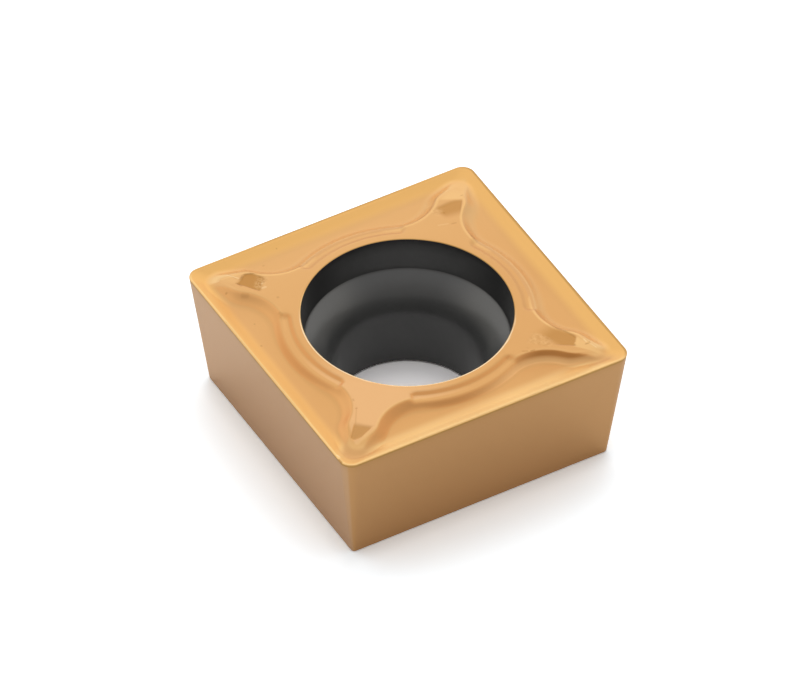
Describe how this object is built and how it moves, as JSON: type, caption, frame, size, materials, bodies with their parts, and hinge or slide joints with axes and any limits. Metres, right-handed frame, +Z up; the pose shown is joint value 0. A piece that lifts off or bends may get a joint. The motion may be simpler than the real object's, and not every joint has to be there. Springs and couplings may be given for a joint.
{
  "type": "indexable cutting insert",
  "caption": "Square carbide insert with relieved flanks, round screw hole and a star-shaped chip-breaking face.",
  "frame": {"origin": "centre of the flat seat, on the screw hole's axis", "axes": "+Z up the screw hole towards the chip-breaking face, the square's sides along X and Y"},
  "size_m": [0.0096, 0.0096, 0.0041],
  "materials": {
    "coated_carbide": "satin gold-brown coating on sintered carbide"
  },
  "bodies": {
    "root": {"insert_body": "coated_carbide"}
  },
  "joints": []
}
